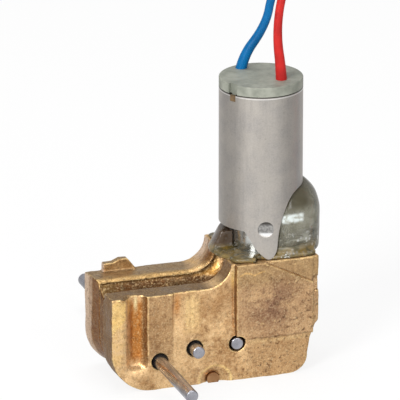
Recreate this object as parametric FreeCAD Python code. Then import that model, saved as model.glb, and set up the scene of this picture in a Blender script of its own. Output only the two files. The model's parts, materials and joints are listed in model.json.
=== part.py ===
import FreeCAD, Part
import math
import os

# Drive of a diverter valve: a small can motor standing on a two-piece brass worm gearbox.
# Millimetres. The motor axis is X = 0, Y = 0, the gearbox stands on Z = 0, the output shaft
# leaves the front (-Y) and the rear (+Y), and the two leads leave the motor's cap.

V = FreeCAD.Vector
UP = V(0, 0, 1)
BACK = V(0, 1, 0)

# Gearbox housing
LEFT_X = -26.4            # left end
RIGHT_X = 7.2             # right side above the waist
WAIST = ((0.5, 7.8), (1.3, 5.6), (1.7, 3.2))  # steps in from the right side, and their heights
FACE_Y = -6.8             # machined front face
REAR_Y = 7.05             # rear face
SPLIT_Y = 1.7             # joint between the two halves
DECK_Z = 15.4             # top of the gear section
COLLAR_Z = 19.0           # top of the motor collar, front half
EAR_RISE = 0.4            # how far the rear half's collar stands higher
RISE_X = -10.9            # where the concave rise to the collar starts
RISE_RADIUS = 4.0         # radius of that rise
LEFT_CORNER = 6.5         # bottom left corner radius
RIGHT_CORNER = 3.0        # bottom right corner radius
RAISED = 0.7              # how far the right panel stands proud of the face
PANEL_LEFT = -6.4         # right panel: left edge
PANEL_RIGHT = 6.2         # right panel: right edge
PANEL_BOTTOM = 6.6        # right panel: lower edge
FACET_START = (-0.6, 18.4)    # smooth facet at the top right corner: its lower edge, X and Z
FACET_END = (6.2, 15.0)
FACET_PROUD = 0.15        # how far the facet stands proud of the face
NOTCH_LOW = 13.4          # small notch in the right edge
NOTCH_HIGH = 15.6
NOTCH_DEPTH = 0.4
CHANNEL_RADIUS = 2.4      # half-round channel along the joint
CHANNEL_Y = -0.7          # its centre
CHANNEL_LIFT = 0.2        # its centre stands off the surface by this
SHOULDER = 1.6            # rounded inner edge of the rear half
SCOOP_REAR = 6.3          # hollow down the left end: it deepens towards the front
SCOOP_FRONT = -2.3        # and ends in a step here
SCOOP_DEPTH = 1.0
SCOOP_BULGE = 0.7         # its depth half way along
SCOOP_TURN = 70           # how far it follows the bottom left corner, in degrees
SLOT_LEFT = -24.0         # milled vertical slot in the front face
SLOT_RIGHT = -20.6
SLOT_FOOT = 3.6
SLOT_DEPTH = 1.3
SCORE_X = -16.4           # thin groove down the front face, and its two ends
SCORE_WIDTH = 0.2
SCORE_DEPTH = 0.4
SCORE_FOOT = 5.9
RELIEF_PANEL = (-16.3, -6.4)  # shallow relief between the panels
RELIEF_DEPTH = 0.35
RELIEF_FOOT = 8.6         # it runs out in a ramp
RELIEF_RAMP = 2.4
CRATER_X = -9.7           # shallow bowl round the rivet at the bottom edge
CRATER_Z = 0.4
CRATER_BALL = 4.6
CRATER_DEPTH = 0.8
LUG_LEFT = -23.7          # cast lug on the rear half's top
LUG_RIGHT = -18.3
LUG_THICKNESS = 1.2
LUG_HEIGHT = 1.9
LUG_STEP = 1.4

# Gear train: worm and wheel, then two pairs of spur gears
MODULE = 0.3
ADDENDUM = 0.8 * MODULE
DEDENDUM = 1.1 * MODULE
PRESSURE = math.radians(20)
BACKLASH = 0.05           # taken off each tooth at the pitch circle
WORM_PITCH_RADIUS = 1.6
WHEEL_TEETH = 30
PINION_1_TEETH = 16
GEAR_2_TEETH = 30
PINION_2_TEETH = 18
OUTPUT_TEETH = 21
FIRST_Z = 6.05            # height of the first and second shafts
OUTPUT_DROP = 1.5         # how far the output shaft lies below the second
SHAFT_RADIUS = 1.0
WHEEL_HALF_WIDTH = 1.5
REAR_GEARS = (2.0, 4.5)   # where the first pinion and the second gear lie along Y
FRONT_GEARS = (-4.5, -2.0)    # where the second pinion and the output gear lie along Y
GEAR_SIDE_GAP = 0.4       # free space beside a gear
GEAR_TIP_GAP = 0.3        # free space round a gear's tips
OUTPUT_FRONT = 15.7       # how far the output shaft stands out of the front face
OUTPUT_REAR = 25.3        # and out of the rear face
STUB_FRONT = 2.1          # second shaft's stub
FLUSH_FRONT = 0.15        # first shaft's end
SHAFT_END_ROUND = 0.25
CLIP_GROOVE_RADIUS = 0.75     # bottom of the grooves that hold the output shaft's clips
CLIP_RADIUS = 1.25
CLIP_WIDTH = 0.6
CLIP_GAP = 0.05           # between a clip and its bush
CLIP_PROUD = 0.05         # a clip stands this far out of the housing's face

# Bushes
BUSH_RADIUS = 1.8
BUSH_LENGTH = 1.2
RUNNING = 0.02            # radial clearance of a shaft in its bush
FACE_HOLE_RADIUS = 1.33   # hole in front of a bush
BLIND_GAP = 0.3           # end clearance of the short shafts
WASHER_RADIUS = 1.7
WASHER_THICKNESS = 0.3

# Pins that hold the halves together
PIN_RADIUS = 0.7
RIVET_X = -9.95           # the rivet at the bottom edge, filed flush with the underside
RIVET_Z = 0.6
RIVET_RADIUS = 1.0
RIVET_SINK = 0.2          # how far the rivet's end lies behind the front face
DOWEL_PLACES = ((4.9, 4.2), (-21.4, 12.0))
DOWEL_ENDS = (-3.5, 5.0)

# Motor
CAN_RADIUS = 6.5
CAN_WALL = 0.4
CAN_TOP = 45.4
CAN_EDGE = 23.6           # lower edge at the left
TONGUE_TIP = 19.1
WINDOW_TOP = 29.8
CAN_SEAT_GAP = 0.1        # between the can and the rear half's ear
MOTOR_TURN = -18.6        # how the can's tongue is turned about the axis, in degrees
CAP_TOP = 46.9
CAP_PLUG = 1.6            # how deep the cap's plug reaches into the can
KEY_WIDTH = 1.1           # key slot in the can's edge
CAP_KEY_WIDTH = 1.7       # and in the cap above it
KEY_DEPTH = 1.15
CAP_KEY_DEPTH = 0.6
KEY_ANGLE = -61.0
STAKE_RADIUS = 1.25
STAKE_Z = 24.0
STAKE_X = 0.75
STAKE_SINK = 0.3          # how far the stake's face lies inside the can's surface
STAKE_THICKNESS = 0.5
FRAME_RADIUS = 4.7
FRAME_WALL = 0.4
FRAME_FOOT = 19.6
FRAME_FLANGE = 30.0
MAGNET_INNER = 4.5
MAGNET_TOP = 41.0
ROTOR_RADIUS = 4.2
ROTOR_BOTTOM = 31.6
ROTOR_TOP = 38.6
ROTOR_SLOTS = 3
COMMUTATOR_RADIUS = 1.5
COMMUTATOR_BOTTOM = 40.4
COMMUTATOR_TOP = 42.6
MOTOR_SHAFT_RADIUS = 0.6
MOTOR_BUSH_RADIUS = 1.6
MOTOR_BUSH_LENGTH = 1.8
WORM_FOOT = 1.9
WORM_HEAD = 10.4
FOOT_BUSH_BOTTOM = 0.9
FOOT_BUSH_TOP = 1.7
WORM_WELL_RADIUS = 2.3

# Resin
DOME_X = 2.9
DOME_RADIUS = 6.4
DOME_SHOULDER = 25.2
DOME_RISE = 6.0
RESIN_SLAB = (-6.6, 7.1, -6.7, 6.95)  # the resin's foot on the collar: X and Y limits
RESIN_SLAB_TOP = 19.7
RESIN_SLAB_ROUND = 1.2
TONGUE_FREE = (-0.7, 3.1)     # across the tongue, the resin stays behind the can's outer face

# Leads
LEAD_DIAMETER = 1.3
LEAD_START = 43.6
TIP_RADIUS = 0.4
TIP_LENGTH = 4.0
TAG_THICKNESS = 0.3
RED_ROUTE = (
    (2.4, -2.8, LEAD_START),
    (2.4, -2.8, 47.6),
    (1.55, -2.6, 54.2),
    (2.6, -2.1, 60.7),
    (5.8, -1.5, 67.8),
    (12.6, -1.1, 74.6),
    (24.4, -1.6, 78.4),
    (35.0, -2.3, 71.0),
    (40.6, -2.8, 56.0),
    (41.6, -3.5, 35.0),
    (41.0, -4.6, 14.6),
    (40.4, -13.0, 0.75),
    (39.2, -24.0, 0.75),
)
BLUE_ROUTE = (
    (-2.0, 4.6, LEAD_START),
    (-2.0, 4.6, 47.9),
    (2.05, 3.6, 53.7),
    (2.75, 3.0, 59.0),
    (6.0, 3.0, 66.2),
    (12.6, 3.7, 72.6),
    (23.2, 4.8, 74.6),
    (31.6, 5.2, 67.0),
    (36.0, 5.0, 52.5),
    (36.4, 4.4, 33.0),
    (35.6, 3.4, 14.6),
    (35.0, -4.8, 0.75),
    (33.4, -16.0, 0.75),
)

# Worked out from the sizes above
WORM_LEAD = math.pi * MODULE
LEAD_TAN = WORM_LEAD / (2 * math.pi * WORM_PITCH_RADIUS)
WHEEL_RADIUS = MODULE * WHEEL_TEETH / 2
FIRST_X = -(WORM_PITCH_RADIUS + WHEEL_RADIUS)
SECOND_X = FIRST_X - MODULE * (PINION_1_TEETH + GEAR_2_TEETH) / 2
OUTPUT_REACH = MODULE * (PINION_2_TEETH + OUTPUT_TEETH) / 2
OUTPUT_X = SECOND_X - math.sqrt(OUTPUT_REACH ** 2 - OUTPUT_DROP ** 2)
OUTPUT_Z = FIRST_Z - OUTPUT_DROP
FRONT_CAVITY = FRONT_GEARS[0] - GEAR_SIDE_GAP
REAR_CAVITY = REAR_GEARS[1] + GEAR_SIDE_GAP
WHEEL_CAVITY = -WHEEL_HALF_WIDTH - GEAR_SIDE_GAP
LEAD_RADIUS = LEAD_DIAMETER / 2
SHAFT_NAMES = ("first", "second", "output")


def box(x0, x1, y0, y1, z0, z1):
    return Part.makeBox(x1 - x0, y1 - y0, z1 - z0, V(x0, y0, z0))


def rod(radius, z0, z1, x=0.0, y=0.0):
    return Part.makeCylinder(radius, z1 - z0, V(x, y, z0), UP)


def cross_rod(radius, x, z, y0, y1):
    return Part.makeCylinder(radius, y1 - y0, V(x, y0, z), BACK)


def ring(outer, inner, z0, z1, x=0.0, y=0.0):
    return rod(outer, z0, z1, x, y).cut(rod(inner, z0 - 1, z1 + 1, x, y))


def cross_ring(outer, inner, x, z, y0, y1):
    return cross_rod(outer, x, z, y0, y1).cut(cross_rod(inner, x, z, y0 - 1, y1 + 1))


def side_prism(points, y0, y1):
    """A prism along Y from corner points (x, z)."""
    corners = [V(x, y0, z) for x, z in points]
    face = Part.Face(Part.makePolygon(corners + corners[:1]))
    return face.extrude(V(0, y1 - y0, 0))


def save(name, shape):
    shape = shape.removeSplitter()
    shape.exportStep("parts/" + name + ".step")
    flag = "" if shape.isValid() else "  NOT VALID"
    print(f"{name}: {len(shape.Solids)} solid(s), {shape.Volume:.2f} mm3{flag}")


# ---------------------------------------------------------------- gears


def involute(angle):
    return math.tan(angle) - angle


def tooth_points(teeth, turn):
    """Corner points (radius, angle) of a spur gear, flanks taken at four radii."""
    pitch = MODULE * teeth / 2
    base = pitch * math.cos(PRESSURE)
    root = pitch - DEDENDUM
    tip = pitch + ADDENDUM
    half = math.pi / (2 * teeth) - BACKLASH / (2 * pitch) + involute(PRESSURE)
    start = max(base, root)
    flank = [root] if root < base else []
    flank += [start, (start + pitch) / 2, pitch, (pitch + tip) / 2, tip]
    points = []
    for k in range(teeth):
        middle = turn + 2 * math.pi * k / teeth
        rising = []
        for r in flank:
            roll = math.acos(min(1.0, base / r)) if r > base else 0.0
            rising.append((r, half - involute(roll)))
        points += [(r, middle - a) for r, a in rising]
        points += [(r, middle + a) for r, a in reversed(rising)]
    return points


def gear_wire(teeth, x, z, y, turn):
    corners = [
        V(x + r * math.cos(a), y, z + r * math.sin(a)) for r, a in tooth_points(teeth, turn)
    ]
    return Part.makePolygon(corners + corners[:1])


def spur_gear(teeth, x, z, ends, turn):
    body = Part.Face(gear_wire(teeth, x, z, ends[0], turn))
    body = body.extrude(V(0, ends[1] - ends[0], 0))
    return body.cut(cross_rod(SHAFT_RADIUS, x, z, ends[0] - 1, ends[1] + 1))


def worm_wheel():
    """The wheel's teeth lean with the worm's thread, so its two faces are turned apart."""
    lean = LEAD_TAN * WHEEL_HALF_WIDTH / WHEEL_RADIUS
    wires = [
        gear_wire(WHEEL_TEETH, FIRST_X, FIRST_Z, side * WHEEL_HALF_WIDTH, -side * lean)
        for side in (-1, 1)
    ]
    body = Part.makeLoft(wires, True, True)
    return body.cut(cross_rod(SHAFT_RADIUS, FIRST_X, FIRST_Z, -5, 5))


def worm():
    """A single-start right-hand thread on a core, its space facing the wheel at the wheel's height."""
    root = WORM_PITCH_RADIUS - DEDENDUM
    tip = WORM_PITCH_RADIUS + ADDENDUM
    sunk = root - 0.1
    turns_down = int((FIRST_Z - WORM_FOOT) / WORM_LEAD) - 1
    turns_up = int((WORM_HEAD - FIRST_Z) / WORM_LEAD) - 1
    start = FIRST_Z - turns_down * WORM_LEAD
    height = (turns_down + turns_up) * WORM_LEAD
    half = (WORM_LEAD / 2 - BACKLASH) / 2
    wide = half + (WORM_PITCH_RADIUS - sunk) * math.tan(PRESSURE)
    narrow = half - (tip - WORM_PITCH_RADIUS) * math.tan(PRESSURE)
    profile = Part.makePolygon([
        V(sunk, 0, start - wide),
        V(tip, 0, start - narrow),
        V(tip, 0, start + narrow),
        V(sunk, 0, start + wide),
        V(sunk, 0, start - wide),
    ])
    helix = Part.makeHelix(WORM_LEAD, height, WORM_PITCH_RADIUS)
    helix.translate(V(0, 0, start))
    path = Part.Wire(helix.Edges)
    sweep = Part.BRepOffsetAPI.MakePipeShell(path)
    sweep.setFrenetMode(True)
    sweep.add(profile)
    sweep.build()
    sweep.makeSolid()
    thread = sweep.shape()
    core = rod(root, WORM_FOOT, WORM_HEAD)
    return core.fuse(thread).cut(rod(MOTOR_SHAFT_RADIUS, WORM_FOOT - 1, WORM_HEAD + 1))


def cross_shaft(x, z, y0, y1):
    shaft = cross_rod(SHAFT_RADIUS, x, z, y0, y1)
    rims = [e for e in shaft.Edges if isinstance(e.Curve, Part.Circle)]
    return shaft.makeFillet(SHAFT_END_ROUND, rims)


def clip_places():
    """Where the output shaft's two clips start along Y, each in the mouth of its hole."""
    return {"front": FACE_Y - CLIP_PROUD, "rear": REAR_Y + CLIP_PROUD - CLIP_WIDTH}


def output_clip(y):
    return cross_ring(CLIP_RADIUS, CLIP_GROOVE_RADIUS, OUTPUT_X, OUTPUT_Z, y, y + CLIP_WIDTH)


def output_shaft():
    shaft = cross_shaft(OUTPUT_X, OUTPUT_Z, FACE_Y - OUTPUT_FRONT, REAR_Y + OUTPUT_REAR)
    for y in clip_places().values():
        shaft = shaft.cut(output_clip(y))
    return shaft


# ---------------------------------------------------------------- housing


def housing_outline(collar_top):
    """The side outline (X, Z) of the gearbox as a face at Y = 0."""
    steps = [(RIGHT_X - inwards, z) for inwards, z in WAIST]
    low_right = steps[-1][0]
    turn = math.sqrt(0.5)
    rise_centre = DECK_Z + RISE_RADIUS
    drop = rise_centre - collar_top
    rise_end = RISE_X + math.sqrt(RISE_RADIUS ** 2 - drop ** 2)
    half = math.atan2(drop, rise_end - RISE_X)
    middle = (-math.pi / 2 - half) / 2

    def at(x, z):
        return V(x, 0, z)

    left_c = at(LEFT_X + LEFT_CORNER, LEFT_CORNER)
    right_c = at(low_right - RIGHT_CORNER, RIGHT_CORNER)
    edges = [
        Part.LineSegment(at(left_c.x, 0), at(right_c.x, 0)),
        Part.Arc(
            at(right_c.x, 0),
            at(right_c.x + RIGHT_CORNER * turn, RIGHT_CORNER * (1 - turn)),
            at(low_right, RIGHT_CORNER),
        ),
        Part.LineSegment(at(low_right, RIGHT_CORNER), at(*steps[2])),
        Part.LineSegment(at(*steps[2]), at(*steps[1])),
        Part.LineSegment(at(*steps[1]), at(*steps[0])),
        Part.LineSegment(at(*steps[0]), at(RIGHT_X, steps[0][1] + WAIST[0][0])),
        Part.LineSegment(at(RIGHT_X, steps[0][1] + WAIST[0][0]), at(RIGHT_X, collar_top)),
        Part.LineSegment(at(RIGHT_X, collar_top), at(rise_end, collar_top)),
        Part.Arc(
            at(rise_end, collar_top),
            at(RISE_X + RISE_RADIUS * math.cos(middle), rise_centre + RISE_RADIUS * math.sin(middle)),
            at(RISE_X, DECK_Z),
        ),
        Part.LineSegment(at(RISE_X, DECK_Z), at(LEFT_X, DECK_Z)),
        Part.LineSegment(at(LEFT_X, DECK_Z), at(LEFT_X, LEFT_CORNER)),
        Part.Arc(
            at(LEFT_X, LEFT_CORNER),
            at(left_c.x - LEFT_CORNER * turn, LEFT_CORNER * (1 - turn)),
            at(left_c.x, 0),
        ),
    ]
    return Part.Face(Part.Wire([e.toShape() for e in edges]))


def housing_block(y0, y1, collar_top):
    face = housing_outline(collar_top)
    face.translate(V(0, y0, 0))
    return face.extrude(V(0, y1 - y0, 0))


def gear_room(teeth, x, z, y0, y1):
    return cross_rod(MODULE * teeth / 2 + ADDENDUM + GEAR_TIP_GAP, x, z, y0, y1)


def inner_space():
    """Everything hollow in the closed gearbox: gear rooms, worm well, bush seats and holes."""
    rooms = [
        gear_room(WHEEL_TEETH, FIRST_X, FIRST_Z, WHEEL_CAVITY, SPLIT_Y),
        gear_room(PINION_1_TEETH, FIRST_X, FIRST_Z, SPLIT_Y, REAR_CAVITY),
        gear_room(GEAR_2_TEETH, SECOND_X, FIRST_Z, SPLIT_Y, REAR_CAVITY),
        gear_room(PINION_2_TEETH, SECOND_X, FIRST_Z, FRONT_CAVITY, SPLIT_Y),
        gear_room(OUTPUT_TEETH, OUTPUT_X, OUTPUT_Z, FRONT_CAVITY, SPLIT_Y),
        rod(WORM_WELL_RADIUS, FOOT_BUSH_TOP, COLLAR_Z + 2),
        rod(MOTOR_BUSH_RADIUS, FOOT_BUSH_BOTTOM, FOOT_BUSH_TOP),
        cross_rod(FACE_HOLE_RADIUS, OUTPUT_X, OUTPUT_Z, SPLIT_Y, REAR_Y + 1),
    ]
    rooms += [cross_rod(FACE_HOLE_RADIUS, x, z, FACE_Y - 2, front) for x, z, front in shaft_places()]
    rooms += [cross_rod(BUSH_RADIUS, *place) for place in bush_places().values()]
    for x, z in DOWEL_PLACES:
        rooms.append(cross_rod(PIN_RADIUS, x, z, *DOWEL_ENDS))
    rooms.append(cross_rod(RIVET_RADIUS, RIVET_X, RIVET_Z, *rivet_ends()))
    space = rooms[0]
    for room in rooms[1:]:
        space = space.fuse(room)
    return space


def shaft_places():
    """Each cross shaft's X, Z and the front wall of its gear room."""
    return (
        (FIRST_X, FIRST_Z, WHEEL_CAVITY),
        (SECOND_X, FIRST_Z, FRONT_CAVITY),
        (OUTPUT_X, OUTPUT_Z, FRONT_CAVITY),
    )


def bush_places():
    """Each bush's X, Z and two ends along Y. The output shaft's bushes reach to its clips."""
    clips = clip_places()
    places = {}
    for name, (x, z, front) in zip(SHAFT_NAMES, shaft_places()):
        outer = front - BUSH_LENGTH
        inner = REAR_CAVITY + BUSH_LENGTH
        if name == "output":
            outer = clips["front"] + CLIP_WIDTH + CLIP_GAP
            inner = clips["rear"] - CLIP_GAP
        places[name + "_front_bush"] = (x, z, outer, front)
        places[name + "_rear_bush"] = (x, z, REAR_CAVITY, inner)
    return places


def rivet_ends():
    """The rivet ends just behind the front face, and inside the rear half."""
    return FACE_Y + RIVET_SINK, DOWEL_ENDS[1]


def rivet():
    whole = cross_rod(RIVET_RADIUS, RIVET_X, RIVET_Z, *rivet_ends())
    reach = RIVET_RADIUS + 1
    return whole.common(box(RIVET_X - reach, RIVET_X + reach, *rivet_ends(), 0, RIVET_Z + reach))


def joint_channel():
    """Half-round groove along the deck and up the concave rise."""
    z = DECK_Z + CHANNEL_LIFT
    bend = RISE_RADIUS - CHANNEL_LIFT
    centre = V(RISE_X, CHANNEL_Y, z + bend)
    turn = math.sqrt(0.5)
    level = Part.makeCylinder(CHANNEL_RADIUS, RISE_X - LEFT_X + 3, V(LEFT_X - 3, CHANNEL_Y, z), V(1, 0, 0))
    arc = Part.Arc(
        V(RISE_X, CHANNEL_Y, z),
        V(RISE_X + bend * turn, CHANNEL_Y, centre.z - bend * turn),
        V(RISE_X + bend, CHANNEL_Y, centre.z),
    )
    circle = Part.Wire(Part.makeCircle(CHANNEL_RADIUS, V(RISE_X, CHANNEL_Y, z), V(1, 0, 0)))
    rise = Part.Wire(arc.toShape()).makePipeShell([circle], True, False)
    return level.fuse(rise)


def left_scoop():
    """Hollow in the left end that follows its outline down and round the bottom corner."""
    outside = LEFT_X - 1
    z = LEFT_CORNER
    rear = V(LEFT_X, SCOOP_REAR, z)
    middle = V(LEFT_X + SCOOP_BULGE, (SCOOP_REAR + SCOOP_FRONT) / 2, z)
    front = V(LEFT_X + SCOOP_DEPTH, SCOOP_FRONT, z)
    rest = Part.makePolygon([front, V(outside, SCOOP_FRONT, z), V(outside, SCOOP_REAR, z), rear])
    face = Part.Face(Part.Wire([Part.Arc(rear, middle, front).toShape()] + rest.Edges))
    upright = face.extrude(V(0, 0, DECK_Z + 3 - z))
    turned = face.revolve(V(LEFT_X + LEFT_CORNER, 0, z), BACK, -SCOOP_TURN)
    return upright.fuse(turned)


def front_housing(space):
    block = housing_block(FACE_Y, SPLIT_Y, COLLAR_Z)
    panel = housing_block(FACE_Y - RAISED, FACE_Y, COLLAR_Z)
    panel = panel.common(box(PANEL_LEFT, PANEL_RIGHT, -9, 0, PANEL_BOTTOM, COLLAR_Z))
    body = block.fuse(panel).removeSplitter()
    slot_middle = (SLOT_LEFT + SLOT_RIGHT) / 2
    slot_radius = (SLOT_RIGHT - SLOT_LEFT) / 2
    slot_y = FACE_Y + SLOT_DEPTH - slot_radius
    body = body.cut(rod(slot_radius, SLOT_FOOT, DECK_Z + 1, slot_middle, slot_y))
    body = body.cut(relief()).cut(corner_facet()).cut(edge_notch())
    half = SCORE_WIDTH / 2
    deep = FACE_Y + SCORE_DEPTH
    body = body.cut(box(SCORE_X - half, SCORE_X + half, FACE_Y - 1, deep, SCORE_FOOT, DECK_Z + 1))
    body = body.cut(Part.makeSphere(CRATER_BALL, V(CRATER_X, FACE_Y + CRATER_DEPTH - CRATER_BALL, CRATER_Z)))
    body = body.cut(joint_channel()).cut(left_scoop())
    return body.cut(space)


def relief():
    """The shallow relief between the panels, with a ramp as its foot."""
    x0, x1 = RELIEF_PANEL
    deep = FACE_Y + RELIEF_DEPTH
    top = COLLAR_Z + 1
    corners = (
        (FACE_Y - 1, RELIEF_FOOT), (FACE_Y, RELIEF_FOOT), (deep, RELIEF_FOOT + RELIEF_RAMP),
        (deep, top), (FACE_Y - 1, top), (FACE_Y - 1, RELIEF_FOOT),
    )
    face = Part.Face(Part.makePolygon([V(x0, y, z) for y, z in corners]))
    return face.extrude(V(x1 - x0, 0, 0))


def corner_facet():
    """What is milled off the right panel's top corner, above a line that falls to the right."""
    far = RIGHT_X + 3
    slope = (FACET_END[1] - FACET_START[1]) / (FACET_END[0] - FACET_START[0])
    low = FACET_END[1] + slope * (far - FACET_END[0])
    high = COLLAR_Z + 2
    start = FACET_START[0] - 1
    corners = ((start, FACET_START[1] - slope), (far, low), (far, high), (start, high))
    return side_prism(corners, FACE_Y - 3, FACE_Y - FACET_PROUD)


def edge_notch():
    return box(PANEL_RIGHT, RIGHT_X + 1, FACE_Y - 1, FACE_Y + NOTCH_DEPTH, NOTCH_LOW, NOTCH_HIGH)


def lug():
    """A cast lug with a low step at the left, a peak, and a slope down to the right."""
    y0 = REAR_Y - LUG_THICKNESS
    steep = LUG_RIGHT - 1.5
    outline = (
        (LUG_LEFT, DECK_Z - 0.5),
        (LUG_LEFT, DECK_Z + LUG_STEP),
        (LUG_LEFT + 1.5, DECK_Z + LUG_STEP),
        (LUG_LEFT + 2.6, DECK_Z + LUG_HEIGHT),
        (steep, DECK_Z + LUG_HEIGHT),
        (LUG_RIGHT, DECK_Z),
        (LUG_RIGHT, DECK_Z - 0.5),
    )
    return side_prism(outline, y0, REAR_Y)


def can_seat():
    """Room turned out of the rear half's ear for the can's tongue."""
    return rod(CAN_RADIUS + CAN_SEAT_GAP, COLLAR_Z, CAN_TOP)


def rear_housing(space):
    block = housing_block(SPLIT_Y, REAR_Y, COLLAR_Z + EAR_RISE)
    inner_edges = []
    for e in block.Edges:
        middle = e.valueAt((e.FirstParameter + e.LastParameter) / 2)
        on_split = abs(middle.y - SPLIT_Y) < 1e-6
        along = all(abs(v.Y - SPLIT_Y) < 1e-6 for v in e.Vertexes)
        top = middle.z > DECK_Z - 0.01 and middle.x < FIRST_X
        if on_split and along and top:
            inner_edges.append(e)
    body = block.makeFillet(SHOULDER, inner_edges)
    return body.cut(left_scoop()).fuse(lug()).cut(space).cut(can_seat())


# ---------------------------------------------------------------- motor


def can_cutter():
    """What the can's shaped lower edge leaves open: a flat at the left, a tongue, a window at the right."""
    far = CAN_RADIUS + 1
    low = TONGUE_TIP - 3
    edge = Part.BSplineCurve()
    knots = (
        (-2.6, CAN_EDGE), (-1.63, 22.2), (-0.85, 20.9), (0.2, 19.75), (1.4, TONGUE_TIP),
        (2.25, 19.9), (2.6, 21.6), (3.02, 24.55), (3.95, 27.4), (5.03, 29.2), (6.3, WINDOW_TOP),
    )
    edge.interpolate([V(x, -far, z) for x, z in knots])
    corners = [
        V(6.3, -far, WINDOW_TOP), V(far, -far, WINDOW_TOP), V(far, -far, low),
        V(-far, -far, low), V(-far, -far, CAN_EDGE), V(-2.6, -far, CAN_EDGE),
    ]
    wire = Part.Wire([edge.toShape()] + Part.makePolygon(corners).Edges)
    cutter = Part.Face(wire).extrude(V(0, 2 * far, 0))
    cutter.rotate(V(0, 0, 0), UP, MOTOR_TURN)
    return cutter


def key_slot():
    key = box(-KEY_WIDTH / 2, KEY_WIDTH / 2, -CAN_RADIUS - 1, -CAN_RADIUS + 1.2, CAN_TOP - KEY_DEPTH, CAP_TOP + 1)
    key.rotate(V(0, 0, 0), UP, KEY_ANGLE)
    return key


def stake(radius, depth):
    """The round stake in the tongue, seen from outside."""
    pin = Part.makeCylinder(radius, depth, V(STAKE_X, -CAN_RADIUS - 1, STAKE_Z), BACK)
    pin.rotate(V(0, 0, 0), UP, MOTOR_TURN)
    return pin


def motor_can():
    can = ring(CAN_RADIUS, CAN_RADIUS - CAN_WALL, TONGUE_TIP - 1, CAN_TOP)
    can = can.cut(can_cutter()).cut(key_slot())
    return can.cut(stake(STAKE_RADIUS, 3))


def can_stake():
    """A short flat plug in the can's hole."""
    face = V(STAKE_X, -CAN_RADIUS + STAKE_SINK, STAKE_Z)
    plug = Part.makeCylinder(STAKE_RADIUS, STAKE_THICKNESS, face, BACK)
    plug.rotate(V(0, 0, 0), UP, MOTOR_TURN)
    return plug


def end_cap():
    cap = rod(CAN_RADIUS, CAN_TOP, CAP_TOP).fuse(rod(CAN_RADIUS - CAN_WALL, CAN_TOP - CAP_PLUG, CAN_TOP))
    cap = cap.removeSplitter()
    rims = [
        e for e in cap.Edges
        if isinstance(e.Curve, Part.Circle) and abs(e.Curve.Center.z - CAP_TOP) < 1e-6
    ]
    cap = cap.makeFillet(0.2, rims)
    for route in (RED_ROUTE, BLUE_ROUTE):
        cap = cap.cut(lead_tag(route)).cut(lead_tube(route, LEAD_RADIUS)[0])
    cap = cap.cut(rod(MOTOR_BUSH_RADIUS, CAN_TOP - CAP_PLUG - 1, CAN_TOP))
    half = CAP_KEY_WIDTH / 2
    key = box(-half, half, -CAN_RADIUS - 1, -CAN_RADIUS + CAP_KEY_DEPTH, CAN_TOP - 3, CAP_TOP + 1)
    key.rotate(V(0, 0, 0), UP, KEY_ANGLE)
    return cap.cut(key)


def key_glue():
    """Hardened glue in the slot of the can's edge."""
    key = box(-KEY_WIDTH / 2, KEY_WIDTH / 2, -CAN_RADIUS, -CAN_RADIUS + 0.4, CAN_TOP - KEY_DEPTH, CAN_TOP - 0.2)
    key.rotate(V(0, 0, 0), UP, KEY_ANGLE)
    return key.common(rod(CAN_RADIUS - 0.05, 40, 50)).cut(rod(CAN_RADIUS - CAN_WALL, 40, 50))


def motor_frame():
    """A drawn cup below the windings, with a flange that closes the can."""
    cup = ring(FRAME_RADIUS, FRAME_RADIUS - FRAME_WALL, FRAME_FOOT, FRAME_FLANGE + 0.6)
    floor = ring(FRAME_RADIUS, MOTOR_BUSH_RADIUS, FRAME_FOOT, FRAME_FOOT + 0.5)
    flange = ring(CAN_RADIUS - CAN_WALL, FRAME_RADIUS, FRAME_FLANGE, FRAME_FLANGE + 0.6)
    return cup.fuse(floor).fuse(flange)


def magnets():
    """Two magnet tiles against the can's wall, with a gap between them."""
    shell = ring(CAN_RADIUS - CAN_WALL, MAGNET_INNER, FRAME_FLANGE + 0.6, MAGNET_TOP)
    return shell.cut(box(-1.2, 1.2, -9, 9, FRAME_FLANGE, MAGNET_TOP + 1))


def rotor_core():
    """A three-slot laminated core on the motor shaft."""
    core = ring(ROTOR_RADIUS, MOTOR_SHAFT_RADIUS, ROTOR_BOTTOM, ROTOR_TOP)
    for k in range(ROTOR_SLOTS):
        turn = 360 * k / ROTOR_SLOTS
        slot = rod(1.15, ROTOR_BOTTOM - 1, ROTOR_TOP + 1, 2.4, 0)
        mouth = box(2.4, ROTOR_RADIUS + 1, -0.3, 0.3, ROTOR_BOTTOM - 1, ROTOR_TOP + 1)
        slot = slot.fuse(mouth)
        slot.rotate(V(0, 0, 0), UP, turn)
        core = core.cut(slot)
    return core


def rotor_windings():
    """Three coils: each fills a slot of the core and stands out above and below it."""
    coils = []
    for k in range(ROTOR_SLOTS):
        coil = rod(1.1, ROTOR_BOTTOM - 0.5, ROTOR_TOP + 0.8, 2.4, 0)
        coil.rotate(V(0, 0, 0), UP, 360 * k / ROTOR_SLOTS)
        coils.append(coil)
    return Part.makeCompound(coils)


def brush_holder():
    z0 = CAN_TOP - CAP_PLUG - 2.6
    holder = ring(CAN_RADIUS - CAN_WALL, 4.6, z0, CAN_TOP - CAP_PLUG)
    return holder.cut(tag_space(RED_ROUTE)).cut(tag_space(BLUE_ROUTE))


def tag_space(route):
    x, y, z = route[0]
    return rod(LEAD_RADIUS + 0.15, z - 1.4, z + 1, x, y)


def lead_tag(route):
    """The soldered tag that a lead ends on, under the cap."""
    x, y, z = route[0]
    return rod(LEAD_RADIUS, z - TAG_THICKNESS, z, x, y)


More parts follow.
